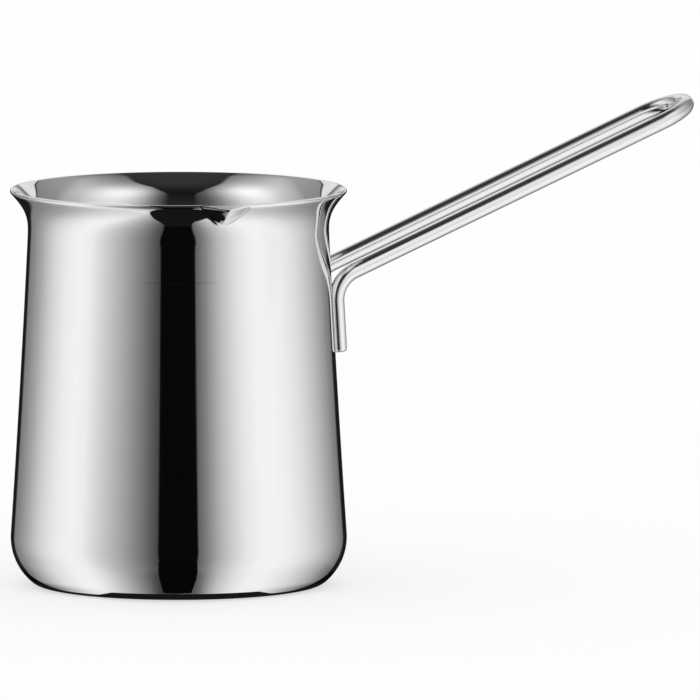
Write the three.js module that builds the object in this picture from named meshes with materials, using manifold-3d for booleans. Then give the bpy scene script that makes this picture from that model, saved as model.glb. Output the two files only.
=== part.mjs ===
// A long-handled coffee pot (cezve) in polished stainless steel.
// Millimetres, +Z up. The origin is the centre of the flat base, the handle points along +X
// and the pouring lip points along -Y.

import * as THREE from "three";
import { mergeVertices } from "three/addons/utils/BufferGeometryUtils.js";
import Module from "manifold-3d";

const wasm = await Module();
wasm.setup();

// ---- Driving dimensions: the drawn vessel ----
const SHEET = 1.2; // wall thickness
const POT_HEIGHT = 99.8; // base to the top of the rounded rim
const BASE_FLAT_RADIUS = 32.6; // the flat that the pot stands on
const CORNER_ARCS = [
  // radius of each arc of the outer corner, and the angle of its tangent where it ends
  { radius: 19, endDegrees: 6.5 },
  { radius: 4.4, endDegrees: 40 },
  { radius: 14.2, endDegrees: 90 },
];
const NECK_RADIUS = 37.67; // narrowest outer radius
const FLARE_ARCS = [
  // radius of each arc that flares from the neck to the rim, and how far the wall leans out at its end
  { radius: 10, endDegrees: 37.2 },
  { radius: 34.5, endDegrees: 43.3 },
];

// ---- Driving dimensions: the pouring lip ----
const LIP_REACH = 3; // how far its tip stands out past the rim
const LIP_DIP = 1; // how far its tip hangs below the rim
const LIP_HALF_DEGREES = 9.5; // half its width at the rim, seen from the pot's axis
const LIP_DEPTH = 5.5; // from the rim down to where its crease starts

// ---- Driving dimensions: the wire handle ----
const WIRE_RADIUS = 2;
const ROD_SPACING = 19; // between the axes of its two parallel rods
const ROD_RISE_DEGREES = 23.4; // slope of the rods above level
const LOOP_CENTRE_X = 124.4; // centre of the half-round end of the loop
const LOOP_CENTRE_Z = 113.85;
const BEND_RADIUS = 7.9; // of the wire's axis, where a rod turns down into its leg
const LEG_AXIS_TO_WALL = 1; // less than the wire's radius: the leg is pressed flat against the wall
const LEG_FOOT_HEIGHT = 58.4; // height of the lower end of each leg
const CONTACT_GAP = 0.3; // left between pieces that touch

// ---- Driving dimensions: the weld nuggets ----
const NUGGET_RADIUS = 1.25;
const NUGGET_THICKNESS = 0.7;
const NUGGET_TO_WALL = 0.15;
const NUGGET_HEIGHTS = { upper: 68, lower: 62 };

// ---- How finely the curved surfaces are divided ----
const ROUND_SEGMENTS = 64;
const LIP_CROWDING = 0.6; // 0 spreads those segments evenly, towards 1 they gather at the lip
const WIRE_SIDES = 12;
const WIRE_STEPS = 116;

const radians = (degrees) => (degrees * Math.PI) / 180;

// ---- Shared geometry of the wall ----

// Height of the narrowest ring, worked out downwards from the top of the rounded rim.
function neckHeight() {
  let climb = 0;
  let start = 0;
  for (const { radius, endDegrees } of FLARE_ARCS) {
    const end = radians(endDegrees);
    climb += radius * (Math.sin(end) - Math.sin(start));
    start = end;
  }
  return POT_HEIGHT - SHEET / 2 - climb - (SHEET / 2) * Math.sin(start);
}

const NECK_HEIGHT = neckHeight();

// Where the corner arcs end: the widest point of the outer surface.
function cornerEnd() {
  let r = BASE_FLAT_RADIUS;
  let z = 0;
  let start = 0;
  for (const { radius, endDegrees } of CORNER_ARCS) {
    const end = radians(endDegrees);
    r += radius * (Math.sin(end) - Math.sin(start));
    z += radius * (Math.cos(start) - Math.cos(end));
    start = end;
  }
  return { r, z };
}

const widest = cornerEnd();
const TAPER = Math.atan((widest.r - NECK_RADIUS) / (NECK_HEIGHT - widest.z));

// Outer radius of the straight, tapered stretch of the wall.
function wallRadius(z) {
  return NECK_RADIUS + Math.tan(TAPER) * (NECK_HEIGHT - z);
}

// The wall's profile as (radius, height) points, moved inwards by a depth below the outer surface.
// It runs from the edge of the flat base up to the end of the flare.
function wallProfile(depth) {
  const points = [];
  let centre = new THREE.Vector2(BASE_FLAT_RADIUS, CORNER_ARCS[0].radius);
  let start = 0;
  CORNER_ARCS.forEach(({ radius, endDegrees }, i) => {
    const last = i === CORNER_ARCS.length - 1;
    const end = radians(endDegrees) + (last ? TAPER : 0);
    const steps = Math.max(2, Math.round((end - start) / radians(12)));
    for (let k = 0; k < steps; k++) {
      const a = start + ((end - start) * k) / steps;
      const reach = radius - depth;
      points.push(new THREE.Vector2(centre.x + reach * Math.sin(a), centre.y - reach * Math.cos(a)));
    }
    const next = last ? 0 : CORNER_ARCS[i + 1].radius;
    const shift = radius - next;
    centre = new THREE.Vector2(
      centre.x + shift * Math.sin(end),
      centre.y - shift * Math.cos(end),
    );
    start = end;
  });
  centre = new THREE.Vector2(NECK_RADIUS + FLARE_ARCS[0].radius, NECK_HEIGHT);
  start = -TAPER;
  FLARE_ARCS.forEach(({ radius, endDegrees }, i) => {
    const last = i === FLARE_ARCS.length - 1;
    const end = radians(endDegrees);
    const steps = Math.max(2, Math.round((end - start) / radians(9)));
    for (let k = 0; k < steps + (last ? 1 : 0); k++) {
      const a = start + ((end - start) * k) / steps;
      const reach = radius + depth;
      points.push(new THREE.Vector2(centre.x - reach * Math.cos(a), centre.y + reach * Math.sin(a)));
    }
    const shift = last ? 0 : FLARE_ARCS[i + 1].radius - radius;
    centre = new THREE.Vector2(
      centre.x + shift * Math.cos(end),
      centre.y - shift * Math.sin(end),
    );
    start = end;
  });
  return points;
}

// The rim's edge: a half round that joins the outer surface to the inner one.
function rimEdge(outerEnd, innerEnd) {
  const centre = outerEnd.clone().add(innerEnd).multiplyScalar(0.5);
  const arm = outerEnd.clone().sub(centre);
  return [45, 90, 135].map((degrees) =>
    arm.clone().rotateAround(new THREE.Vector2(), radians(degrees)).add(centre),
  );
}

// Moves a point of the vessel outwards and down where the pouring lip is pinched out of the rim.
// The angle is measured from the lip's own direction.
function pinchLip(radius, angle, height) {
  const rise = (height - (POT_HEIGHT - LIP_DEPTH)) / LIP_DEPTH;
  if (rise <= 0) return { radius, height };
  const halfAngle = radians(LIP_HALF_DEGREES) * Math.min(1, 0.35 + 0.65 * rise);
  const across = Math.min(1, Math.abs(angle) / halfAngle);
  const ridge = 1 - Math.sqrt(across * across + 0.02) / Math.sqrt(1.02);
  return {
    radius: radius + LIP_REACH * ridge * Math.pow(rise, 0.8),
    height: height - LIP_DIP * ridge * rise * rise,
  };
}

// ---- Solids and meshes ----

// A closed geometry as a manifold-3d solid.
function solidOf(geometry) {
  const bare = geometry.clone();
  bare.deleteAttribute("normal");
  bare.deleteAttribute("uv");
  const merged = mergeVertices(bare, 1e-4);
  return new wasm.Manifold(
    new wasm.Mesh({
      numProp: 3,
      vertProperties: merged.attributes.position.array,
      triVerts: new Uint32Array(merged.index.array),
    }),
  );
}

// A manifold-3d solid as a three.js geometry.
function geometryOf(solid) {
  const mesh = solid.getMesh();
  const geometry = new THREE.BufferGeometry();
  geometry.setAttribute("position", new THREE.BufferAttribute(mesh.vertProperties, 3));
  geometry.setIndex(new THREE.BufferAttribute(mesh.triVerts, 1));
  geometry.computeVertexNormals();
  return geometry;
}

// A closed solid of revolution about +Z, from a profile that starts and ends on the axis.
function turned(profile, segments) {
  return new THREE.LatheGeometry(profile, segments).rotateX(Math.PI / 2);
}

const polishedSteel = new THREE.MeshStandardMaterial({
  color: 0xd8d9da,
  roughness: 0.06,
  metalness: 1,
});
const wireSteel = new THREE.MeshStandardMaterial({
  color: 0xd2d3d4,
  roughness: 0.16,
  metalness: 1,
});
const weldSteel = new THREE.MeshStandardMaterial({
  color: 0xa9a8a6,
  roughness: 0.45,
  metalness: 1,
});

function named(name, geometry, material) {
  const mesh = new THREE.Mesh(geometry, material);
  mesh.name = name;
  return mesh;
}

// ---- The drawn vessel ----

function potBody() {
  const outer = wallProfile(0);
  const inner = wallProfile(SHEET);
  const profile = [
    new THREE.Vector2(0, 0),
    ...outer,
    ...rimEdge(outer[outer.length - 1], inner[inner.length - 1]),
    ...inner.reverse(),
    new THREE.Vector2(0, SHEET),
  ];
  const geometry = turned(profile, ROUND_SEGMENTS);
  const positions = geometry.getAttribute("position");
  for (let i = 0; i < positions.count; i++) {
    const x = positions.getX(i);
    const y = positions.getY(i);
    const even = Math.atan2(x, -y);
    const angle = even - LIP_CROWDING * Math.sin(even);
    const moved = pinchLip(Math.hypot(x, y), angle, positions.getZ(i));
    positions.setXYZ(
      i,
      moved.radius * Math.sin(angle),
      -moved.radius * Math.cos(angle),
      moved.height,
    );
  }
  return named("pot_body", geometry, polishedSteel);
}

// ---- The wire handle ----

// An arc in space that leaves a point of a circle along a unit tangent.
class SpaceArc extends THREE.Curve {
  constructor(centre, start, tangent, sweep) {
    super();
    this.centre = centre;
    this.arm = start.clone().sub(centre);
    this.side = tangent.clone().multiplyScalar(this.arm.length());
    this.sweep = sweep;
  }

  getPoint(t, target = new THREE.Vector3()) {
    const a = this.sweep * t;
    return target
      .copy(this.centre)
      .addScaledVector(this.arm, Math.cos(a))
      .addScaledVector(this.side, Math.sin(a));
  }
}

// The axis of the wire: up the leg on the lip's side, out, round the loop's end and back.
function wireAxis() {
  const half = ROD_SPACING / 2;
  const rise = radians(ROD_RISE_DEGREES);
  const out = new THREE.Vector3(Math.cos(rise), 0, Math.sin(rise));
  const up = new THREE.Vector3(-Math.sin(TAPER), 0, Math.cos(TAPER));
  const loopCentre = new THREE.Vector3(LOOP_CENTRE_X, 0, LOOP_CENTRE_Z);

  // The leg's axis keeps its distance to the wall, so it leans in as the wall does.
  const legX = (z) => Math.sqrt((wallRadius(z) + LEG_AXIS_TO_WALL) ** 2 - half ** 2);
  const foot = new THREE.Vector3(legX(LEG_FOOT_HEIGHT), -half, LEG_FOOT_HEIGHT);

  // Where the leg's line and the rod's line would meet if the wire were not bent round.
  const toLoop = LOOP_CENTRE_X - foot.x;
  const climb = LOOP_CENTRE_Z - foot.z;
  const legLength = (climb * out.x - toLoop * out.z) / (up.z * out.x - up.x * out.z);
  const meeting = foot.clone().addScaledVector(up, legLength);
  const turn = up.angleTo(out);
  const tangentLength = BEND_RADIUS * Math.tan(turn / 2);
  const bendStart = meeting.clone().addScaledVector(up, -tangentLength);
  const bendEnd = meeting.clone().addScaledVector(out, tangentLength);
  const inwards = out.clone().sub(up.clone().multiplyScalar(out.dot(up))).normalize();
  const bendCentre = bendStart.clone().addScaledVector(inwards, BEND_RADIUS);

  const across = (point) => new THREE.Vector3(point.x, -point.y, point.z);
  const rodEnd = new THREE.Vector3(loopCentre.x, -half, loopCentre.z);
  const down = up.clone().negate();
  const back = out.clone().negate();

  const axis = new THREE.CurvePath();
  axis.add(new THREE.LineCurve3(foot, bendStart));
  axis.add(new SpaceArc(bendCentre, bendStart, up, turn));
  axis.add(new THREE.LineCurve3(bendEnd, rodEnd));
  axis.add(new SpaceArc(loopCentre, rodEnd, out, Math.PI));
  axis.add(new THREE.LineCurve3(across(rodEnd), across(bendEnd)));
  axis.add(new SpaceArc(across(bendCentre), across(bendEnd), back, turn));
  axis.add(new THREE.LineCurve3(across(bendStart), across(foot)));
  return axis;
}

// The direction straight out of the wall at the middle of a leg.
function wallNormal(side, height) {
  const azimuth = Math.asin(ROD_SPACING / 2 / (wallRadius(height) + LEG_AXIS_TO_WALL));
  const level = Math.cos(TAPER);
  return new THREE.Vector3(
    Math.cos(azimuth) * level,
    side * Math.sin(azimuth) * level,
    Math.sin(TAPER),
  );
}

// A disc whose axis stands on the wall, between two distances from the wall's surface.
function discOnWall(side, height, radius, from, to) {
  const normal = wallNormal(side, height);
  const onWall = new THREE.Vector3(normal.x, normal.y, 0).normalize();
  onWall.multiplyScalar(wallRadius(height)).setZ(height);
  const disc = new THREE.CylinderGeometry(radius, radius, to - from, 24);
  const turn = new THREE.Quaternion().setFromUnitVectors(new THREE.Vector3(0, 1, 0), normal);
  const middle = onWall.addScaledVector(normal, (from + to) / 2);
  return disc.applyQuaternion(turn).translate(middle.x, middle.y, middle.z);
}

const LEG_SIDES = { spout: -1, far: 1 };

function handleRod() {
  const section = new THREE.Shape().absarc(0, 0, WIRE_RADIUS, 0, 2 * Math.PI);
  const wire = new THREE.ExtrudeGeometry(section, {
    extrudePath: wireAxis(),
    steps: WIRE_STEPS,
    curveSegments: WIRE_SIDES / 2, // three.js doubles this on a circle
  });

  // The wall, grown by the contact gap, presses a flat along each leg.
  const low = LEG_FOOT_HEIGHT - 10;
  const high = NECK_HEIGHT;
  const press = turned(
    [
      new THREE.Vector2(0, low),
      new THREE.Vector2(wallRadius(low) + CONTACT_GAP, low),
      new THREE.Vector2(wallRadius(high) + CONTACT_GAP, high),
      new THREE.Vector2(0, high),
    ],
    144,
  );
  let solid = solidOf(wire).subtract(solidOf(press));

  // Shallow pockets that the weld nuggets fill.
  const pocketFloor = NUGGET_TO_WALL + NUGGET_THICKNESS + CONTACT_GAP;
  for (const side of Object.values(LEG_SIDES)) {
    for (const height of Object.values(NUGGET_HEIGHTS)) {
      const radius = NUGGET_RADIUS + CONTACT_GAP;
      solid = solid.subtract(solidOf(discOnWall(side, height, radius, -1, pocketFloor)));
    }
  }
  return named("handle_rod", geometryOf(solid), wireSteel);
}

// ---- The weld nuggets ----

function weldNuggets() {
  const nuggets = [];
  for (const [leg, side] of Object.entries(LEG_SIDES)) {
    for (const [place, height] of Object.entries(NUGGET_HEIGHTS)) {
      const top = NUGGET_TO_WALL + NUGGET_THICKNESS;
      const disc = discOnWall(side, height, NUGGET_RADIUS, NUGGET_TO_WALL, top);
      nuggets.push(named(`weld_${leg}_leg_${place}`, disc, weldSteel));
    }
  }
  return nuggets;
}

const cezve = new THREE.Group();
cezve.add(potBody(), handleRod(), ...weldNuggets());

export default cezve;
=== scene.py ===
"""A long-handled coffee pot (cezve) in mirror-polished stainless steel, on a pale floor in a white studio.

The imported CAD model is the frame. Every visible piece is rebuilt here as a fine mesh in the same place,
in metres: +Z up, the handle along +X, the pouring lip along -Y, the base on z = 0.
"""

import math

import bmesh
import bpy
import numpy as np
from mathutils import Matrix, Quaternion, Vector


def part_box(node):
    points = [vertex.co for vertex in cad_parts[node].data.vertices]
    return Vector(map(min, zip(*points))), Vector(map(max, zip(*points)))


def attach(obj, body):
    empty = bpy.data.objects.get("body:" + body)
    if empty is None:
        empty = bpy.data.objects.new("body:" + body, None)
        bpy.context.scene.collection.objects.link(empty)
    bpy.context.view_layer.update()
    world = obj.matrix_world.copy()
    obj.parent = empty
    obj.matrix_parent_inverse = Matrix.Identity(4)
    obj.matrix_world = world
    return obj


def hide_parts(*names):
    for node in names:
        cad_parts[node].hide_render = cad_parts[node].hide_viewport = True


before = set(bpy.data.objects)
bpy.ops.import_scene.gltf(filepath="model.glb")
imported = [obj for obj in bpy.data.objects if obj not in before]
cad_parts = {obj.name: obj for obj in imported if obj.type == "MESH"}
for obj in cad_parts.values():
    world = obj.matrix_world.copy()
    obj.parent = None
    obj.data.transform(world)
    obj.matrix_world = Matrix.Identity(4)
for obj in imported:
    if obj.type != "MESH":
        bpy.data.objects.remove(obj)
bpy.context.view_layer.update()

MM = 0.001
DEGREES = 180 / math.pi  # in a radian

# ---- Sizes of the drawn vessel ----
SHEET = 1.2 * MM
POT_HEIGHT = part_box("pot_body")[1].z
BASE_FLAT_RADIUS = 32.6 * MM
# The wall's outer profile from the flat base upwards: each arc's radius, and its tangent's angle at the end
# in degrees.
CORNER_ARCS = ((19 * MM, 6.5), (4.4 * MM, 40), (14.2 * MM, 93.72))
TAPER_AT_NECK = 92.7  # the wall's angle at its upper end: it is very slightly hollow
NECK_ARCS = ((115 * MM, 91.2), (9.95 * MM, 52.8), (34.5 * MM, 46.7))
RIM_RADIUS = 42.05 * MM  # where the outer face ends and the rounded edge begins

# ---- The pouring lip ----
LIP_REACH = 3.0 * MM
LIP_DIP = 1.0 * MM
LIP_HALF_ANGLE = math.radians(9.5)
LIP_DEPTH = 5.5 * MM
LIP_FOOT_SHARE = 0.35  # how wide it is where it starts, as a share of its width at the rim
LIP_SWELL = 0.8  # its reach grows with this power of the height
LIP_RIDGE_ROUNDING = 0.002  # 0 would leave the ridge sharp
LIP_FLANK_HOLLOW = 0.25  # the flanks are drawn in towards their feet, by up to this share

# ---- The wire handle ----
WIRE_RADIUS = 2.0 * MM
TAPER = math.radians(3.3)
ROD_SPACING = 19.0 * MM
ROD_RISE = math.radians(23.4)
BEND_RADIUS = 7.9 * MM
LEG_AXIS_TO_WALL = 1.0 * MM
LEG_FOOT_HEIGHT = 58.4 * MM
LOOP_CENTRE = Vector((124.4, 0, 113.85)) * MM
FOOT_ROUNDING = 0.75 * MM
# Between these heights the wire is pressed flat where it would enter the wall, and stays just off it.
PRESSED_FROM = LEG_FOOT_HEIGHT - 3 * MM
PRESSED_TO = 85 * MM
PRESSED_GAP = 0.02 * MM

# ---- The weld nuggets ----
NUGGET_RADIUS = 1.25 * MM
NUGGET_THICKNESS = 0.8 * MM
NUGGET_BLUNTNESS = 0.7  # 1 would give an ellipsoid, and a smaller number a fuller edge

# ---- The camera: far off, a little above the rim's level, with the lip to the right of the middle ----
VIEW_AZIMUTH = math.radians(-17.2)
VIEW_ELEVATION = math.radians(6.24)
VIEW_ROLL = math.radians(-0.02)
CAMERA_DISTANCE = 6.0
PICTURE_WIDTH = 0.17567  # across the frame, at the pot's distance
PICTURE_CENTRE = (42.97 * MM, 58.71 * MM)  # right of and above the base's centre, across the line of sight

RIGHT = Vector((math.cos(VIEW_AZIMUTH), math.sin(VIEW_AZIMUTH), 0))
TOWARDS = Vector((math.sin(VIEW_AZIMUTH), -math.cos(VIEW_AZIMUTH), 0))  # level, towards the camera

# ---- The floor, and what lies between it and the base: hair-thin steps apart, so that none of them meet ----
FLOOR_RADIUS = 6.0
FLOOR_GREY = 0.36
FLOOR_GLOW = 0.63
# The painted shadow under the base lies just below it.
PAINTED_SHADOW_HEIGHT = -0.02 * MM
LIT_GROUND_HEIGHT = -0.04 * MM
FLOOR_HEIGHT = -0.05 * MM


# ======== Mesh helpers ========

def mesh_from(name, bm):
    mesh = bpy.data.meshes.new(name)
    bm.to_mesh(mesh)
    bm.free()
    return mesh


def new_object(name, mesh, material):
    """A smooth-shaded object of one material."""
    obj = bpy.data.objects.new(name, mesh)
    bpy.context.scene.collection.objects.link(obj)
    mesh.materials.append(material)
    for polygon in mesh.polygons:
        polygon.use_smooth = True
    return obj


def from_front(radius, angle, height=0.0):
    """A point at a radius, and at an angle in radians from the -Y side towards +X."""
    return Vector((radius * math.sin(angle), -radius * math.cos(angle), height))


def mesh_of_rings(name, rings, cap_points):
    """A closed skin over rings of equally many points, with a fan from each end ring to its cap point."""
    bm = bmesh.new()
    rows = [[bm.verts.new(point) for point in ring] for ring in rings]
    first_tip, last_tip = [bm.verts.new(point) for point in cap_points]
    count = len(rows[0])
    for lower, upper in zip(rows, rows[1:]):
        for i in range(count):
            j = (i + 1) % count
            bm.faces.new((lower[i], lower[j], upper[j], upper[i]))
    for i in range(count):
        j = (i + 1) % count
        bm.faces.new((rows[0][j], rows[0][i], first_tip))
        bm.faces.new((rows[-1][i], rows[-1][j], last_tip))
    bmesh.ops.recalc_face_normals(bm, faces=bm.faces)
    return mesh_from(name, bm)


def arc_band(bm, stations):
    """A flat band round the middle. A station is an angle from the front and the band's two radii there."""
    rows = []
    for angle, near, far in stations:
        rows.append((bm.verts.new(from_front(near, angle)), bm.verts.new(from_front(far, angle))))
    for (a, b), (c, d) in zip(rows, rows[1:]):
        bm.faces.new((a, b, d, c))


# ======== The wall's profile ========

def end_of(arcs, start, place):
    """Where a row of arcs ends, from the start's place (r, z), for tangent angles in radians."""
    r, z = place
    for radius, end in arcs:
        bend = radius if end > start else -radius
        r += bend * (math.sin(end) - math.sin(start))
        z += bend * (math.cos(start) - math.cos(end))
        start = end
    return r, z


def wall_line(step=0.1 * MM, corner_blend=1.2 * MM, neck_blend=2.5 * MM, change_from=0.4, change_to=0.6):
    """The outer profile from the edge of the flat base to the rim, as arrays r, z and the tangent's angle.

    The angle is known along each arc, so it is laid out along the length, eased where arcs meet, and summed
    up. The corner's blend gives way to the neck's between the two shares of the length.
    """
    corner = [(radius, math.radians(degrees)) for radius, degrees in CORNER_ARCS]
    neck = [(radius, math.radians(degrees)) for radius, degrees in NECK_ARCS]
    wall_starts = corner[-1][1]
    wall_ends = math.radians(TAPER_AT_NECK)
    rim_angle = neck[-1][1]
    # The half-round edge rises above the end of the outer face.
    rim_height = POT_HEIGHT - SHEET / 2 * (1 + math.cos(rim_angle))
    # The wall is as long as the height needs.
    below = end_of(corner, 0.0, (BASE_FLAT_RADIUS, 0.0))
    above = end_of(neck, wall_ends, (0.0, 0.0))
    wall_length = (rim_height - above[1] - below[1]) / math.sin((wall_starts + wall_ends) / 2)

    lengths = [0.0]
    angles = [0.0]

    def lay_out(arcs):
        for radius, end in arcs:
            lengths.append(lengths[-1] + radius * abs(end - angles[-1]))
            angles.append(end)

    lay_out(corner)
    lengths.append(lengths[-1] + wall_length)
    angles.append(wall_ends)
    lay_out(neck)
    s = np.arange(0, lengths[-1], step)
    sharp = np.interp(s, lengths, angles)

    def eased(blend):
        reach = int(blend / step)
        kernel = np.hanning(2 * reach + 1)
        padded = np.concatenate([np.full(reach, sharp[0]), sharp, np.full(reach, sharp[-1])])
        return np.convolve(padded, kernel / kernel.sum(), mode="valid")

    upper_part = np.clip((s / s[-1] - change_from) / (change_to - change_from), 0, 1)
    angle = eased(corner_blend) * (1 - upper_part) + eased(neck_blend) * upper_part
    r = BASE_FLAT_RADIUS + np.concatenate([[0], np.cumsum(np.cos(angle[:-1]))]) * step
    z = np.concatenate([[0], np.cumsum(np.sin(angle[:-1]))]) * step
    # Small differences at the far end are shared out along the line.
    r += (RIM_RADIUS - r[-1]) * s / s[-1]
    z *= rim_height / z[-1]
    return r, z, angle


WALL_LINE = wall_line()


def wall_radius(z):
    """Outer radius at a height."""
    return float(np.interp(z, WALL_LINE[1], WALL_LINE[0]))


def profile_rows(line, turn=math.radians(1.5), longest=2.0 * MM):
    """Indices along the line, close together where it turns quickly."""
    r, z, angle = line
    picked = [0]
    last = 0
    for i in range(1, len(r)):
        length = math.hypot(r[i] - r[last], z[i] - z[last])
        if abs(angle[i] - angle[last]) >= turn or length >= longest or i == len(r) - 1:
            picked.append(i)
            last = i
    return picked


# ======== The drawn vessel ========

def pinch_lip(r, angle, z):
    """Moves a point outwards and down where the lip is pinched out of the rim. The angle is from the lip."""
    rise = (z - (POT_HEIGHT - LIP_DEPTH)) / LIP_DEPTH
    if rise <= 0:
        return r, z
    half_angle = LIP_HALF_ANGLE * min(1.0, LIP_FOOT_SHARE + (1 - LIP_FOOT_SHARE) * rise)
    across = min(1.0, abs(angle) / half_angle)
    ridge = 1 - math.sqrt((across * across + LIP_RIDGE_ROUNDING) / (1 + LIP_RIDGE_ROUNDING))
    ridge *= 1 - LIP_FLANK_HOLLOW * (1 - ridge) ** 2
    return r + LIP_REACH * ridge * rise ** LIP_SWELL, z - LIP_DIP * ridge * rise * rise


def pot_body(material, columns=320, crowding=0.75, edge_steps=14, base_steps=6):
    """One shell with an outer and an inner face. Its columns crowd round the lip, where the shape is fine."""
    r, z, angle = WALL_LINE
    outer, inner = [], []
    for i in profile_rows(WALL_LINE):
        outer.append((r[i], z[i]))
        inner.append((r[i] - SHEET * math.sin(angle[i]), z[i] + SHEET * math.cos(angle[i])))
    # The rim's edge: a half round from the outer end to the inner one.
    middle_r = (outer[-1][0] + inner[-1][0]) / 2
    middle_z = (outer[-1][1] + inner[-1][1]) / 2
    arm_r = outer[-1][0] - middle_r
    arm_z = outer[-1][1] - middle_z
    edge = []
    for k in range(1, edge_steps):
        a = math.pi * k / edge_steps
        edge.append((middle_r + arm_r * math.cos(a) - arm_z * math.sin(a),
                     middle_z + arm_r * math.sin(a) + arm_z * math.cos(a)))
    base_radii = [BASE_FLAT_RADIUS * k / base_steps for k in range(1, base_steps)]
    profile = [(radius, 0.0) for radius in base_radii] + outer + edge + inner[::-1]
    profile += [(radius, SHEET) for radius in reversed(base_radii)]

    rings = []
    for radius, height in profile:
        ring = []
        for i in range(columns):
            even = 2 * math.pi * i / columns
            a = even - crowding * math.sin(even)
            if a > math.pi:
                a -= 2 * math.pi
            pinched_radius, pinched_height = pinch_lip(radius, a, height)
            ring.append(from_front(pinched_radius, a, pinched_height))
        rings.append(ring)
    mesh = mesh_of_rings("pot_body_fine", rings, cap_points=(Vector((0, 0, 0)), Vector((0, 0, SHEET))))
    obj = new_object("pot_body_polished", mesh, material)
    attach(obj, "root")
    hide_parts("pot_body")
    return obj


# ======== The wire handle ========

def wire_path(leg_steps=16, bend_steps=26, rod_steps=24, loop_steps=26):
    """Points and unit tangents of the wire's axis, from the foot of one leg round the loop to the other."""
    half = ROD_SPACING / 2
    out = Vector((math.cos(ROD_RISE), 0, math.sin(ROD_RISE)))
    up = Vector((-math.sin(TAPER), 0, math.cos(TAPER)))  # a leg lies along the wall
    foot_x = math.sqrt((wall_radius(LEG_FOOT_HEIGHT) + LEG_AXIS_TO_WALL) ** 2 - half ** 2)
    foot = Vector((foot_x, -half, LEG_FOOT_HEIGHT))
    rod_end = LOOP_CENTRE + Vector((0, -half, 0))
    gap = rod_end - foot
    leg_length = (gap.z * out.x - gap.x * out.z) / (up.z * out.x - up.x * out.z)
    meeting = foot + up * leg_length
    turn = up.angle(out)
    tangent = BEND_RADIUS * math.tan(turn / 2)
    bend_start = meeting - up * tangent
    bend_end = meeting + out * tangent
    inwards = (out - up * out.dot(up)).normalized()
    bend_centre = bend_start + inwards * BEND_RADIUS

    points, tangents = [], []

    def straight(a, b, count):
        for k in range(count):
            points.append(a.lerp(b, k / count))
            tangents.append((b - a).normalized())

    def arc(centre, start, direction, sweep, count):
        arm = start - centre
        side = direction * arm.length
        for k in range(count):
            a = sweep * k / count
            points.append(centre + arm * math.cos(a) + side * math.sin(a))
            tangents.append((direction * math.cos(a) - arm.normalized() * math.sin(a)).normalized())

    straight(foot, bend_start, leg_steps)
    arc(bend_centre, bend_start, up, turn, bend_steps)
    straight(bend_end, rod_end, rod_steps)
    arc(LOOP_CENTRE, rod_end, out, math.pi / 2, loop_steps)
    # The other half is the mirror image across the handle's middle plane.
    tip = LOOP_CENTRE + out * half
    mirrored = [Vector((p.x, -p.y, p.z)) for p in reversed(points)]
    back = [Vector((-t.x, t.y, -t.z)) for t in reversed(tangents)]
    return points + [tip] + mirrored, tangents + [Vector((0, 1, 0))] + back


def press_to_wall(point):
    """A leg's metal that would lie inside the wall is pressed flat against it instead."""
    if not PRESSED_FROM < point.z < PRESSED_TO:
        return point
    radius = math.hypot(point.x, point.y)
    surface = wall_radius(point.z) + PRESSED_GAP
    if radius >= surface:
        return point
    share = surface / radius
    return Vector((point.x * share, point.y * share, point.z))


def handle_rod(material, sides=48, foot_steps=8):
    """One wire, with a round section swept along its path and both feet rounded off."""
    points, tangents = wire_path()
    # Each foot ends in rings that draw in: how far each one lies beyond the last full ring, and its radius.
    rounding = []
    for k in range(1, foot_steps):
        a = math.pi / 2 * k / foot_steps
        rounding.append((FOOT_ROUNDING * math.sin(a), WIRE_RADIUS - FOOT_ROUNDING * (1 - math.cos(a))))
    points[0] = points[0] + tangents[0] * FOOT_ROUNDING
    points[-1] = points[-1] - tangents[-1] * FOOT_ROUNDING
    stations = []
    for beyond, width in reversed(rounding):
        stations.append((points[0] - tangents[0] * beyond, tangents[0], width))
    for point, tangent in zip(points, tangents):
        stations.append((point, tangent, WIRE_RADIUS))
    for beyond, width in rounding:
        stations.append((points[-1] + tangents[-1] * beyond, tangents[-1], width))

    rings = []
    across = tangents[0].cross(Vector((0, 1, 0))).normalized()
    last = tangents[0]
    for centre, tangent, width in stations:
        across = last.rotation_difference(tangent) @ across
        across = (across - tangent * across.dot(tangent)).normalized()
        last = tangent
        other = tangent.cross(across)
        ring = []
        for i in range(sides):
            a = 2 * math.pi * i / sides
            ring.append(press_to_wall(centre + (across * math.cos(a) + other * math.sin(a)) * width))
        rings.append(ring)
    caps = (press_to_wall(stations[0][0]), press_to_wall(stations[-1][0]))
    mesh = mesh_of_rings("handle_rod_fine", rings, cap_points=caps)
    obj = new_object("handle_rod_polished", mesh, material)
    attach(obj, "root")
    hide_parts("handle_rod")
    return obj


# ======== The weld nuggets ========

def weld_nugget(node, material, rows=12, sides=28):
    """A lens of fused metal, half in the wall and half in the leg, in place of a CAD nugget."""
    low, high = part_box(node)
    middle = (low + high) / 2
    level = math.hypot(middle.x, middle.y)
    outwards = Vector((middle.x, middle.y, level * math.tan(TAPER))).normalized()
    share = wall_radius(middle.z) / level
    surface = Vector((middle.x * share, middle.y * share, middle.z))
    turn = Vector((0, 0, 1)).rotation_difference(outwards)
    rings = []
    for k in range(1, rows):
        a = math.pi * k / rows
        radius = NUGGET_RADIUS * math.sin(a) ** NUGGET_BLUNTNESS
        height = NUGGET_THICKNESS / 2 * math.cos(a)
        ring = [from_front(radius, 2 * math.pi * i / sides, height) for i in range(sides)]
        rings.append([surface + turn @ point for point in ring])
    tip = turn @ Vector((0, 0, NUGGET_THICKNESS / 2))
    mesh = mesh_of_rings(node + "_fine", rings, cap_points=(surface + tip, surface - tip))
    obj = new_object(node + "_nugget", mesh, material)
    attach(obj, "root")
    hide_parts(node)
    return obj


# ======== Shader nodes ========

STEEL_SHINE = 0.8  # about the share of the light that the polished steel gives back


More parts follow.
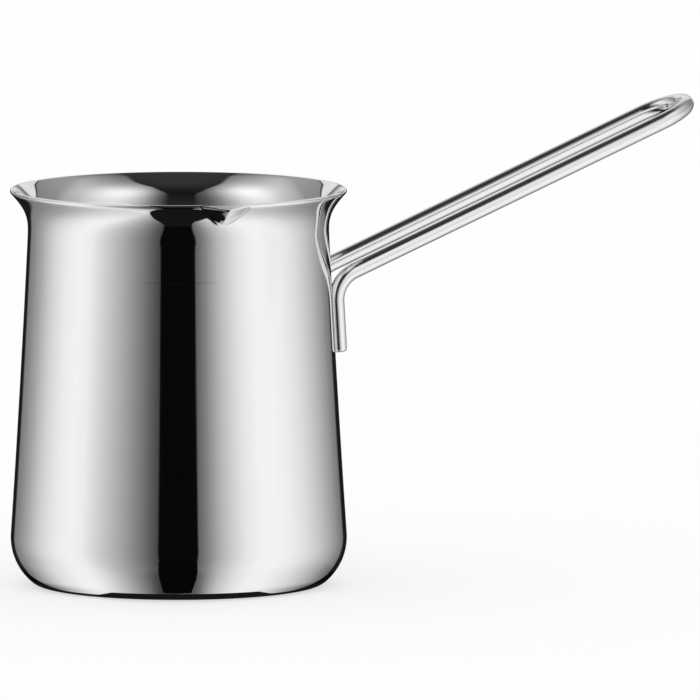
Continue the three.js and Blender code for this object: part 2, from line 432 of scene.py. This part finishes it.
def srgb(grey):
    """Light of a grey that shows as this level out of 255."""
    v = grey / 255
    return v / 12.92 if v <= 0.04045 else ((v + 0.055) / 1.055) ** 2.4


def mirrored(grey):
    """Light that shows as this grey level in the polished steel."""
    return srgb(grey) / STEEL_SHINE


class Nodes:
    """Short ways to add and join shader nodes in one tree."""

    def __init__(self, tree):
        self.tree = tree
        tree.nodes.clear()

    def add(self, kind, inputs=None, **settings):
        node = self.tree.nodes.new(kind)
        for key, value in settings.items():
            setattr(node, key, value)
        for key, value in (inputs or {}).items():
            if isinstance(value, bpy.types.NodeSocket):
                self.tree.links.new(value, node.inputs[key])
            else:
                node.inputs[key].default_value = value
        return node

    def place(self):
        """The shaded point in the object's own coordinates."""
        return self.add("ShaderNodeTexCoord").outputs["Object"]

    def math(self, operation, a, b=0.0, clamp=False):
        return self.add("ShaderNodeMath", {0: a, 1: b}, operation=operation, use_clamp=clamp).outputs[0]

    def ease(self, value, low, high, from_value=0.0, to_value=1.0):
        """A smooth step from one value to the other as value goes from low to high."""
        inputs = {"Value": value, "From Min": low, "From Max": high, "To Min": from_value, "To Max": to_value}
        return self.add("ShaderNodeMapRange", inputs, interpolation_type="SMOOTHSTEP").outputs[0]

    def mix(self, factor, a, b):
        return self.add("ShaderNodeMix", {0: factor, 2: a, 3: b}, data_type="FLOAT").outputs[0]

    def tint(self, factor, a, b):
        """A colour between two."""
        return self.add("ShaderNodeMix", {0: factor, 6: (*a, 1), 7: (*b, 1)}, data_type="RGBA").outputs[2]

    def dot(self, vector, direction):
        inputs = {0: vector, 1: direction}
        return self.add("ShaderNodeVectorMath", inputs, operation="DOT_PRODUCT").outputs["Value"]

    def reach(self, vector):
        return self.add("ShaderNodeVectorMath", {0: vector}, operation="LENGTH").outputs["Value"]

    def turn(self, side, ahead):
        """The angle from the front, either way round, in degrees."""
        return self.math("MULTIPLY", self.math("ABSOLUTE", self.math("ARCTAN2", side, ahead)), DEGREES)

    def levels(self, value, top, stops):
        """A ramp over stops from 0 to top, each with its level."""
        ramp = self.add("ShaderNodeValToRGB", {"Fac": self.math("DIVIDE", value, top)})
        elements = ramp.color_ramp.elements
        while len(elements) > 1:
            elements.remove(elements[-1])
        for k, (position, level) in enumerate(stops):
            element = elements[0] if k == 0 else elements.new(position / top)
            element.position = position / top
            element.color = (level, level, level, 1)
        return ramp.outputs[0]

    def greys(self, value, top, stops):
        """A ramp of light, from the greys that it shows as in the steel."""
        return self.levels(value, top, [(position, mirrored(grey)) for position, grey in stops])

    def angles(self, value, top, stops):
        """A ramp of angles in degrees."""
        shares = self.levels(value, top, [(position, angle / 180) for position, angle in stops])
        return self.math("MULTIPLY", shares, 180)

    def noise(self, vector, scale, detail, roughness):
        inputs = {"Vector": vector, "Scale": scale, "Detail": detail, "Roughness": roughness}
        return self.add("ShaderNodeTexNoise", inputs).outputs["Fac"]

    def bump(self, height, strength, distance):
        inputs = {"Height": height, "Strength": strength, "Distance": distance}
        return self.add("ShaderNodeBump", inputs).outputs[0]

    def glow(self, strength):
        return self.add("ShaderNodeEmission", {"Color": (1, 1, 1, 1), "Strength": strength})

    def fading_glow(self, strength, cover):
        """A glow where cover is 1, and nothing at all where it is 0."""
        glow = self.glow(strength)
        clear = self.add("ShaderNodeBsdfTransparent")
        return self.add("ShaderNodeMixShader", {0: cover, 1: clear.outputs[0], 2: glow.outputs[0]})

    def metal(self, colour, roughness, normal):
        return self.add("ShaderNodeBsdfPrincipled", {
            "Base Color": colour, "Metallic": 1.0, "Roughness": roughness, "Normal": normal})

    def surface(self, shader):
        self.add("ShaderNodeOutputMaterial", {"Surface": shader.outputs[0]})


def new_material(name):
    material = bpy.data.materials.new(name)
    material.use_nodes = True
    return material, Nodes(material.node_tree)


# ======== The object's materials ========

def polished_steel():
    """Mirror polish: almost no colour, faint buffing lines round the pot, soft smudges in the gloss."""
    material, n = new_material("polished_steel")
    place = n.place()
    stretched = n.add("ShaderNodeMapping", {"Vector": place, "Scale": (60, 60, 9000)}).outputs[0]
    lines = n.noise(stretched, scale=1.0, detail=3.0, roughness=0.6)
    smudges = n.noise(place, scale=38.0, detail=3.0, roughness=0.55)
    gloss = n.math("ADD", n.math("MULTIPLY", lines, 0.02), n.math("MULTIPLY", smudges, 0.035))
    roughness = n.math("ADD", gloss, 0.02)
    colour = n.tint(smudges, (0.79, 0.795, 0.80), (0.82, 0.82, 0.815))
    n.surface(n.metal(colour, roughness, n.bump(lines, strength=0.02, distance=0.02 * MM)))
    return material


def wire_steel():
    """Polished wire: a softer gloss than the pot, with faint drawing lines along it."""
    material, n = new_material("wire_steel")
    place = n.place()
    along = n.add("ShaderNodeMapping", {"Vector": place, "Scale": (220, 3600, 3600),
                                        "Rotation": (0, ROD_RISE, 0)}).outputs[0]
    lines = n.noise(along, scale=1.0, detail=3.0, roughness=0.6)
    patches = n.noise(place, scale=120.0, detail=2.0, roughness=0.5)
    gloss = n.math("ADD", n.math("MULTIPLY", lines, 0.05), n.math("MULTIPLY", patches, 0.08))
    roughness = n.math("ADD", gloss, 0.09)
    colour = n.tint(patches, (0.78, 0.785, 0.79), (0.83, 0.83, 0.825))
    n.surface(n.metal(colour, roughness, n.bump(lines, strength=0.06, distance=0.04 * MM)))
    return material


def weld_steel():
    """Fused metal: matte, uneven, slightly straw-coloured by heat."""
    material, n = new_material("weld_steel")
    grain = n.noise(n.place(), scale=1800.0, detail=4.0, roughness=0.6)
    roughness = n.math("ADD", n.math("MULTIPLY", grain, 0.3), 0.35)
    colour = n.tint(grain, (0.30, 0.29, 0.28), (0.50, 0.46, 0.40))
    n.surface(n.metal(colour, roughness, n.bump(grain, strength=0.4, distance=0.1 * MM)))
    return material


# ======== The floor and the light tent ========

# Lists of stops are pairs. The first number is where: degrees from straight towards the camera (0) to
# straight behind (180), or degrees up or down from the tent's middle level (0) to straight overhead or
# underneath (90). The second is how bright, as the grey level out of 255 that the steel shows, unless the
# comment above the list says otherwise.

# The tent's two soft panels round the pot, below and above the middle level.
LEFT_LOW = ((12.6, 64), (20, 97), (30, 136), (45, 180), (58, 212), (68, 235), (78, 241), (90, 234),
            (105, 212), (125, 162), (140, 131), (150, 119))
RIGHT_LOW = ((12.2, 86), (20, 130), (30, 182), (45, 226), (57, 240), (68, 242), (80, 237), (95, 221),
             (110, 195), (125, 164), (140, 130), (150, 111))
LEFT_HIGH = ((12, 44), (25, 87), (35, 132), (45, 180), (55, 216), (66, 238), (76, 239), (86, 226),
             (98, 201), (110, 183), (117, 173), (122, 160), (127, 145), (143, 143))
RIGHT_HIGH = ((11, 50), (18, 98), (26, 146), (35, 192), (45, 221), (56, 234), (68, 228), (80, 212),
              (95, 188), (108, 174), (113, 166), (118, 152), (123, 142), (143, 136))
PANEL_BLEND = (-2, 18)  # degrees of rise between which the lower light gives way to the upper
# How the panels fade upwards and downwards, as a share of their light.
FADE_ABOVE = ((0, 0.80), (20, 0.85), (30, 0.96), (38, 1.07), (44, 1.13), (49, 1.10), (53, 0.97),
              (57, 0.76), (61, 0.56), (66, 0.33), (70, 0.20), (75, 0.11), (90, 0.09))
FADE_BELOW = ((0, 1.0), (52, 1.0), (62, 0.92), (72, 0.80), (80, 0.63), (90, 0.5))

# Behind the pot: where the panels end, a dark seam along their ends, and what is beyond.
UPPER_FROM = 2.5  # degrees; the tent's upper part starts at this rise
PANEL_REAR = 147  # degrees from the front; the panels' ends in the upper part
SEAM_EDGES = (0.5, 1.4)  # degrees from the panels' ends
SEAM_GREY = 100  # what white is dimmed to
BACKDROP = ((0, 225), (5.5, 217), (8.5, 184), (11.5, 150), (13, 112), (13.8, 98), (14.6, 150), (15.6, 212),
            (19, 221), (28, 214), (45, 176), (60, 116), (72, 76), (90, 70))
# The panels' ends in the lower part: degrees from the front, at each angle down.
LEFT_REAR_BELOW = ((0, 150.8), (57, 150.8), (62, 149), (67, 146), (72, 144), (77, 138), (90, 130))
RIGHT_REAR_BELOW = ((0, 150.2), (54, 150.2), (58, 145), (62, 133), (67, 126), (72, 121), (77, 117), (90, 112))
REAR_SOFTNESS = (-2.0, 3.0)  # degrees past those ends
REAR_GREY_BELOW = 28  # seen directly, not in the steel

# The dark gap in front: half its width, as a share of the distance to it.
GAP_LEFT_ABOVE = ((0, 0.235), (22, 0.223), (31, 0.213), (40, 0.197), (45, 0.20), (49, 0.233), (53, 0.262),
                  (58, 0.277), (62, 0.313), (66, 0.345), (90, 0.36))
GAP_RIGHT_ABOVE = ((0, 0.17), (22, 0.16), (31, 0.141), (40, 0.132), (45, 0.135), (49, 0.157), (53, 0.193),
                   (56, 0.212), (59, 0.229), (62, 0.24), (65, 0.288), (68, 0.345), (90, 0.36))
GAP_BELOW = ((0, 0.217), (4, 0.222), (8, 0.229), (20, 0.212), (30, 0.186), (40, 0.163), (50, 0.144),
             (60, 0.13), (70, 0.12), (90, 0.11))
GAP_SOFTNESS_ABOVE = 0.03
GAP_SOFTNESS_BELOW = 0.004
# The gap's light.
GAP_GREYS_ABOVE = ((0, 40), (22, 34), (46, 21), (58, 30), (72, 49), (90, 52))
GAP_GREY_BELOW = 7
OVERHEAD_FROM = 66  # degrees; steeper than this, the gap goes on past straight overhead and underneath
TENT_RADIUS = 0.6
TENT_CENTRE_HEIGHT = 90 * MM


def studio_floor():
    """A pale floor. It is left out of mirror images, as if the pot stood on a clear sheet."""
    material, n = new_material("pale_floor")
    diffuse = n.add("ShaderNodeBsdfDiffuse", {"Color": (FLOOR_GREY, FLOOR_GREY, FLOOR_GREY, 1)})
    glow = n.glow(FLOOR_GLOW)
    n.surface(n.add("ShaderNodeAddShader", {0: diffuse.outputs[0], 1: glow.outputs[0]}))
    bm = bmesh.new()
    bmesh.ops.create_circle(bm, cap_ends=True, segments=96, radius=FLOOR_RADIUS)
    floor = new_object("floor", mesh_from("floor", bm), material)
    floor.location.z = FLOOR_HEIGHT
    floor.visible_glossy = False


def only_mirrored(name, bm, material, height):
    """A glowing piece of staging that only mirror images see. Its own -Y side faces the camera."""
    obj = new_object(name, mesh_from(name, bm), material)
    obj.location.z = height
    obj.rotation_euler.z = VIEW_AZIMUTH
    obj.visible_camera = obj.visible_diffuse = obj.visible_shadow = obj.visible_transmission = False
    material.cycles.emission_sampling = "NONE"


def studio_tent():
    """The light tent that the steel mirrors.

    It has two soft panels, a dark gap in front that goes on overhead and underneath, and a backdrop behind.
    """
    material, n = new_material("tent")
    direction = n.add("ShaderNodeVectorMath", {0: n.place()}, operation="NORMALIZE").outputs["Vector"]
    side = n.dot(direction, (1, 0, 0))
    ahead = n.dot(direction, (0, -1, 0))
    turn = n.turn(side, ahead)
    rise = n.math("MULTIPLY", n.math("ARCSINE", n.dot(direction, (0, 0, 1))), DEGREES)
    fall = n.math("MULTIPLY", rise, -1.0)
    is_right = n.math("GREATER_THAN", side, 0.0)
    is_upper = n.math("GREATER_THAN", rise, UPPER_FROM)

    low = n.mix(is_right, n.greys(turn, 180, LEFT_LOW), n.greys(turn, 180, RIGHT_LOW))
    high = n.mix(is_right, n.greys(turn, 180, LEFT_HIGH), n.greys(turn, 180, RIGHT_HIGH))
    low = n.math("MULTIPLY", low, n.levels(fall, 90, FADE_BELOW))
    high = n.math("MULTIPLY", high, n.levels(rise, 90, FADE_ABOVE))
    panels = n.mix(n.ease(rise, *PANEL_BLEND), low, high)

    # Behind: in the upper part a dark seam and then the backdrop, and in the lower part nothing but dark.
    from_seam = n.math("ABSOLUTE", n.math("SUBTRACT", turn, PANEL_REAR))
    seam = n.ease(from_seam, *SEAM_EDGES, srgb(SEAM_GREY), 1.0)
    upper = n.mix(n.math("GREATER_THAN", turn, PANEL_REAR), panels, n.greys(rise, 90, BACKDROP))
    upper = n.math("MULTIPLY", upper, seam)
    rear = n.mix(is_right, n.angles(fall, 90, LEFT_REAR_BELOW), n.angles(fall, 90, RIGHT_REAR_BELOW))
    past_rear = n.ease(n.math("SUBTRACT", turn, rear), *REAR_SOFTNESS)
    lower = n.mix(past_rear, panels, srgb(REAR_GREY_BELOW))
    around = n.mix(is_upper, lower, upper)

    # The gap in front, which widens overhead and narrows underneath.
    half_above = n.mix(is_right, n.levels(rise, 90, GAP_LEFT_ABOVE), n.levels(rise, 90, GAP_RIGHT_ABOVE))
    half = n.mix(is_upper, n.levels(fall, 90, GAP_BELOW), half_above)
    softness = n.mix(is_upper, GAP_SOFTNESS_BELOW, GAP_SOFTNESS_ABOVE)
    inside = n.math("DIVIDE", n.math("SUBTRACT", half, n.math("ABSOLUTE", side)), softness)
    inside = n.math("ADD", inside, 0.5, clamp=True)
    in_front = n.math("GREATER_THAN", ahead, 0.0)
    overhead = n.math("GREATER_THAN", n.math("ABSOLUTE", rise), OVERHEAD_FROM)
    inside = n.math("MULTIPLY", inside, n.math("MAXIMUM", in_front, overhead))
    dark = n.mix(is_upper, mirrored(GAP_GREY_BELOW), n.greys(rise, 90, GAP_GREYS_ABOVE))

    n.surface(n.glow(n.mix(inside, around, dark)))
    bm = bmesh.new()
    bmesh.ops.create_icosphere(bm, subdivisions=5, radius=TENT_RADIUS)
    only_mirrored("tent", bm, material, TENT_CENTRE_HEIGHT)


# ======== Mirror cards: dark and pale cards close to the pot, which only its mirror images show ========

# A painted shadow on the ground under the base: a dark disc that reaches a little further out in front, and
# more at the sides.
SHADE_RADIUS = 36.6 * MM
SHADE_FRONT_REACH = 1.2 * MM
SHADE_MIDDLE = 3.4  # degrees from the front
SHADE_HALF_ANGLE = 37  # degrees to either side of that middle
SHADE_FRONT_TAPER = 6.5  # degrees over which the front's reach is lost
SHADE_SIDE_REACH = 6.2 * MM
SHADE_SIDES_FROM = 45  # degrees from the front
SHADE_GREYS = (22, 6)  # near the base, and beyond
SHADE_GREY_EDGES = (37 * MM, 38.5 * MM)
# The gap's end on the ground in front: its distance, and its reach left and right there, in millimetres.
GAP_END = ((38, 3.8, 3.6), (44, 5.7, 5.75), (50, 7.35, 7.4), (57, 8.8, 8.85), (72, 12.3, 12.3))

# The lit ground just outside it. A stop's angle is the one at GROUND_RADIUS, and grows with the distance.
GROUND_RADIUS = 40 * MM
LEFT_GROUND = ((7, 62), (9, 83), (15, 141), (21, 184), (27, 218), (33, 238), (39, 241), (51, 220),
               (63, 174), (75, 124), (90, 90))
RIGHT_GROUND = ((7, 88), (9, 112), (15, 190), (21, 223), (27, 238), (34, 239), (45, 219), (57, 182),
                (69, 134), (80, 90), (90, 70))
GROUND_RADII = (34 * MM, 56 * MM)
GROUND_FADE = (46 * MM, 55 * MM)
GROUND_END_FADE = (82, 92)  # degrees from the front
# Close to the base it is dimmer, as painted shade, the more so towards the sides, and at most by the last
# share.
GROUND_DIM_EDGES = (37 * MM, 39.5 * MM)
GROUND_DIM_ANGLES = (20, 75)
GROUND_DIM_MOST = 0.85

# A dark flag under the front of the rim: each corner's distance to the side and in front, in millimetres.
FLAG_LEFT = ((13.2, 38.7), (12.9, 39.3), (11.8, 39.9), (10.2, 40.7), (6.8, 44.5), (5.0, 48.2))
FLAG_RIGHT = ((14.7, 38.7), (14.4, 39.4), (13.6, 39.9), (12.5, 40.7), (6.4, 44.5), (5.0, 48.2))
FLAG_GREY = 20
FLAG_HEIGHT = 80 * MM  # where its plane meets the wall
FLAG_SLOPE = math.tan(math.radians(1.05))  # downwards, away from the pot

# Light above the near half of the rim, which its rounded edge mirrors: two arcs, each from its wide end to
# its narrow one, in degrees from the front.
RIM_LIGHT_ANGLES = ((-75, -10), (75, 13))
RIM_LIGHT_RADIUS = 42 * MM
RIM_LIGHT_HALF_WIDTH = 5 * MM
RIM_LIGHT_FADE_FROM = 2.5 * MM
RIM_LIGHT_HEIGHT = 104 * MM
RIM_LIGHT_GREY = 208

# A pale card standing in front of the handle. Two lower corners: across, towards the camera and up, in
# millimetres.
HANDLE_CARD_NEAR = (45, 46, 57)
HANDLE_CARD_FAR = (190, 1, 119)
HANDLE_CARD_HEIGHT = 67
# The stops and the fades are shares of its length and of its height.
HANDLE_CARD_GREYS = ((0.0, 238), (0.45, 226), (1.0, 215))
HANDLE_CARD_TOP_FADE = (0.85, 1.0)
HANDLE_CARD_BOTTOM_FADE = (0.0, 0.3)
HANDLE_CARD_END_FADES = (0.4, 0.5)  # from its middle


def shade_radius(degrees):
    """How far the painted shadow under the base reaches, at an angle from the front."""
    front = (SHADE_HALF_ANGLE - abs(degrees - SHADE_MIDDLE)) / SHADE_FRONT_TAPER
    side = (min(abs(degrees), 90) - SHADE_SIDES_FROM) / (90 - SHADE_SIDES_FROM)
    return SHADE_RADIUS + SHADE_FRONT_REACH * min(max(front, 0), 1) + SHADE_SIDE_REACH * max(side, 0) ** 2


def painted_ground_shadow():
    """A painted shadow under the base, and the gap's end in front of it, which the pot's lowest edge mirrors.
    """
    material, n = new_material("painted_ground_shadow")
    under, beyond = SHADE_GREYS
    # Painted shade: a dark glow in place of the shadow that the pot casts on the ground.
    n.surface(n.glow(n.ease(n.reach(n.place()), *SHADE_GREY_EDGES, mirrored(under), mirrored(beyond))))
    bm = bmesh.new()
    outline = [from_front(shade_radius(degrees), math.radians(degrees)) for degrees in range(-180, 180)]
    bm.faces.new([bm.verts.new(point) for point in outline])
    left = [Vector((-to_left, -ahead, 0)) for ahead, to_left, to_right in GAP_END]
    right = [Vector((to_right, -ahead, 0)) for ahead, to_left, to_right in reversed(GAP_END)]
    bm.faces.new([bm.verts.new(corner * MM) for corner in left + right])
    only_mirrored("painted_ground_shadow", bm, material, PAINTED_SHADOW_HEIGHT)


def lit_ground():
    """The light on the ground round the front of the base, which fades into the tent's further out."""
    material, n = new_material("lit_ground")
    place = n.place()
    side = n.dot(place, (1, 0, 0))
    turn = n.turn(side, n.dot(place, (0, -1, 0)))
    reach = n.reach(place)
    scaled = n.math("MULTIPLY", turn, n.math("DIVIDE", GROUND_RADIUS, reach))
    is_right = n.math("GREATER_THAN", side, 0.0)
    light = n.mix(is_right, n.greys(scaled, 90, LEFT_GROUND), n.greys(scaled, 90, RIGHT_GROUND))
    # Painted shade: the ground light is dimmed close to the base.
    dimmed = n.math("MULTIPLY", n.ease(reach, *GROUND_DIM_EDGES, 1.0, 0.0),
                    n.ease(turn, *GROUND_DIM_ANGLES, 0.0, GROUND_DIM_MOST))
    light = n.math("MULTIPLY", light, n.math("SUBTRACT", 1.0, dimmed))
    cover = n.math("MULTIPLY", n.ease(reach, *GROUND_FADE, 1.0, 0.0),
                   n.ease(turn, *GROUND_END_FADE, 1.0, 0.0))
    n.surface(n.fading_glow(light, cover))
    bm = bmesh.new()
    arc_band(bm, [(math.radians(degrees), *GROUND_RADII) for degrees in range(-93, 94, 3)])
    only_mirrored("lit_ground", bm, material, LIT_GROUND_HEIGHT)


def rim_flag():
    """A dark flag whose mirror image is the gap's wide end, under the front of the rim."""
    material, n = new_material("rim_flag")
    n.surface(n.glow(mirrored(FLAG_GREY)))
    bm = bmesh.new()
    corners = [(-aside, ahead) for aside, ahead in FLAG_LEFT]
    corners += [(aside, ahead) for aside, ahead in reversed(FLAG_RIGHT)]
    # It slopes with the light that the wall mirrors, which therefore meets it edge-on.
    bm.faces.new([bm.verts.new(Vector((x, -y, -y * FLAG_SLOPE)) * MM) for x, y in corners])
    only_mirrored("rim_flag", bm, material, FLAG_HEIGHT + wall_radius(FLAG_HEIGHT) * FLAG_SLOPE)


def rim_light(steps=24, narrowing_steps=6):
    """A pale card in two arcs just above the near half of the rim, which narrow towards the front."""
    material, n = new_material("rim_light")
    from_middle = n.math("ABSOLUTE", n.math("SUBTRACT", n.reach(n.place()), RIM_LIGHT_RADIUS))
    cover = n.ease(from_middle, RIM_LIGHT_FADE_FROM, RIM_LIGHT_HALF_WIDTH, 1.0, 0.0)
    n.surface(n.fading_glow(mirrored(RIM_LIGHT_GREY), cover))
    bm = bmesh.new()
    for start, end in RIM_LIGHT_ANGLES:
        stations = []
        for k in range(steps + 1):
            half_width = RIM_LIGHT_HALF_WIDTH * min(1, (steps + 0.5 - k) / narrowing_steps)
            angle = math.radians(start + (end - start) * k / steps)
            stations.append((angle, RIM_LIGHT_RADIUS - half_width, RIM_LIGHT_RADIUS + half_width))
        arc_band(bm, stations)
    only_mirrored("rim_light", bm, material, RIM_LIGHT_HEIGHT)


def handle_card():
    """A pale card in front of the handle, which follows the handle's slope and fades at its edges."""
    material, n = new_material("handle_card")
    shares = n.add("ShaderNodeSeparateXYZ", {0: n.add("ShaderNodeTexCoord").outputs["UV"]})
    along, up = shares.outputs[0], shares.outputs[1]
    from_middle = n.math("ABSOLUTE", n.math("SUBTRACT", along, 0.5))
    cover = n.math("MULTIPLY", n.ease(up, *HANDLE_CARD_TOP_FADE, 1.0, 0.0),
                   n.ease(up, *HANDLE_CARD_BOTTOM_FADE))
    cover = n.math("MULTIPLY", cover, n.ease(from_middle, *HANDLE_CARD_END_FADES, 1.0, 0.0))
    n.surface(n.fading_glow(n.greys(along, 1.0, HANDLE_CARD_GREYS), cover))
    bm = bmesh.new()
    uv = bm.loops.layers.uv.new("UVMap")
    corners = [Vector((x, -y, z)) for x, y, z in (HANDLE_CARD_NEAR, HANDLE_CARD_FAR)]
    corners += [corner + Vector((0, 0, HANDLE_CARD_HEIGHT)) for corner in reversed(corners)]
    face = bm.faces.new([bm.verts.new(corner * MM) for corner in corners])
    for loop, share in zip(face.loops, ((0, 0), (1, 0), (1, 1), (0, 1))):
        loop[uv].uv = share
    only_mirrored("handle_card", bm, material, 0.0)


# ======== World and camera ========

def studio_world():
    """Plain white all round."""
    world = bpy.data.worlds.new("studio")
    bpy.context.scene.world = world
    world.use_nodes = True
    n = Nodes(world.node_tree)
    plain = n.add("ShaderNodeBackground", {"Color": (1, 1, 1, 1), "Strength": 1.0})
    n.add("ShaderNodeOutputWorld", {"Surface": plain.outputs[0]})


def studio_camera():
    """A long lens, aimed at the middle of the picture from a little above."""
    back = TOWARDS * math.cos(VIEW_ELEVATION) + Vector((0, 0, math.sin(VIEW_ELEVATION)))
    up = back.cross(RIGHT)
    data = bpy.data.cameras.new("camera")
    data.sensor_width = 36
    data.lens = data.sensor_width * CAMERA_DISTANCE / PICTURE_WIDTH
    data.clip_start = 0.1
    data.clip_end = 50
    camera = bpy.data.objects.new("camera", data)
    bpy.context.scene.collection.objects.link(camera)
    camera.location = RIGHT * PICTURE_CENTRE[0] + up * PICTURE_CENTRE[1] + back * CAMERA_DISTANCE
    camera.rotation_mode = "QUATERNION"
    camera.rotation_quaternion = Quaternion(back, VIEW_ROLL) @ (-back).to_track_quat("-Z", "Y")
    bpy.context.scene.camera = camera


scene = bpy.context.scene
scene.view_settings.view_transform = "Standard"
scene.view_settings.look = "None"

studio_camera()
studio_world()
studio_tent()
studio_floor()
# A painted shadow under the base, which only the steel mirrors.
painted_ground_shadow()
lit_ground()
rim_flag()
rim_light()
handle_card()
pot_body(polished_steel())
handle_rod(wire_steel())
weld_material = weld_steel()
for node_name in sorted(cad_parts):
    if node_name.startswith("weld_"):
        weld_nugget(node_name, weld_material)
